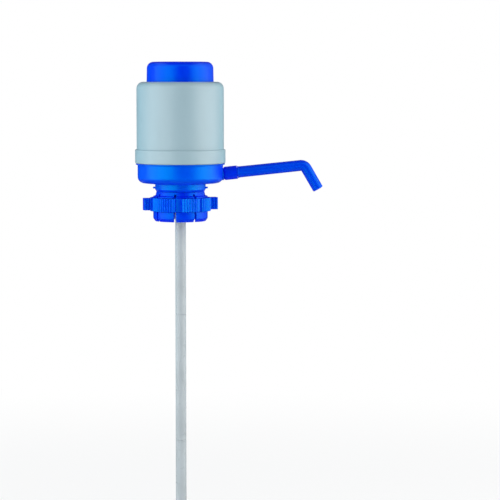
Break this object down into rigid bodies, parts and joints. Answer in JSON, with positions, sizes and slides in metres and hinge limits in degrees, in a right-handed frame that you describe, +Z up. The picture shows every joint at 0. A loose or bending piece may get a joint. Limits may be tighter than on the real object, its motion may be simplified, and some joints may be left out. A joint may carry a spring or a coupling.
{
  "type": "water jug hand pump",
  "caption": "Hand press pump that clamps on the neck of a large water bottle, with a sliding push cap, a bellows, a swivelling spout and a long dip tube.",
  "frame": {"origin": "on the pump's axis, in the plane where the mouth gasket sits on the rim of the bottle's neck", "axes": "+Z up the pump's axis towards the push cap, +X towards the spout, -Y towards the viewer of the picture"},
  "size_m": [0.2357, 0.1136, 0.6388],
  "materials": {
    "cap_plastic": "satin moulded plastic, royal blue",
    "base_plastic": "satin moulded plastic, royal blue",
    "collet_plastic": "satin moulded plastic, royal blue",
    "ring_plastic": "satin moulded plastic, royal blue, ribbed",
    "spout_plastic": "satin moulded plastic, royal blue",
    "housing_plastic": "smooth moulded plastic, light cool grey",
    "inner_plastic": "plain white moulded plastic",
    "bellows_rubber": "soft black rubber",
    "seal_rubber": "black rubber",
    "gasket_rubber": "pale food grade rubber",
    "spring_steel": "bright stainless wire",
    "tube_plastic": "milky translucent polyethylene"
  },
  "bodies": {
    "pump_base": {"base_bowl": "base_plastic", "housing": "housing_plastic", "valve_plate": "inner_plastic", "valve_plate_seal": "seal_rubber", "bellows": "bellows_rubber", "return_spring": "spring_steel", "bellows_clamp_ring": "inner_plastic", "mouth_gasket": "gasket_rubber", "collet_sleeve": "collet_plastic", "spout_o_ring": "seal_rubber", "tube_seal": "seal_rubber", "upper_dip_tube": "tube_plastic", "middle_dip_tube": "tube_plastic", "lower_dip_tube": "tube_plastic"},
    "button": {"push_cap": "cap_plastic", "pressure_plate": "inner_plastic"},
    "intake_flap": {"intake_valve": "seal_rubber"},
    "delivery_flap": {"delivery_valve": "seal_rubber"},
    "clamp": {"clamp_ring": "ring_plastic"},
    "spout_arm": {"spout": "spout_plastic"},
    "nut": {"spout_nut": "spout_plastic"}
  },
  "joints": [
    {"name": "button_press", "type": "slide", "parent": "pump_base", "child": "button", "axis": [0, 0, -1], "range_m": [0, 0.022], "stiffness_N_per_m": 350, "springref_m": -0.025, "deforming": ["bellows", "return_spring"]},
    {"name": "intake_lift", "type": "slide", "parent": "button", "child": "intake_flap", "axis": [0, 0, -1], "range_m": [0, 0.0012], "stiffness_N_per_m": 40, "springref_m": -0.002},
    {"name": "delivery_lift", "type": "slide", "parent": "pump_base", "child": "delivery_flap", "axis": [0, 0, -1], "range_m": [0, 0.0012], "stiffness_N_per_m": 40, "springref_m": -0.002},
    {"name": "clamp_turn", "type": "hinge", "parent": "pump_base", "child": "clamp", "pos_m": [0, 0, -0.0148], "axis": [0, 0, 1], "range_deg": [0, 90]},
    {"name": "spout_swivel", "type": "hinge", "parent": "pump_base", "child": "spout_arm", "pos_m": [0.0702, 0, 0.02518], "axis": [0.9945, 0, 0.1045], "range_deg": [-90, 90]},
    {"name": "nut_turn", "type": "hinge", "parent": "pump_base", "child": "nut", "pos_m": [0.0631, 0, 0.02443], "axis": [0.9945, 0, 0.1045], "range_deg": [0, 180]}
  ]
}
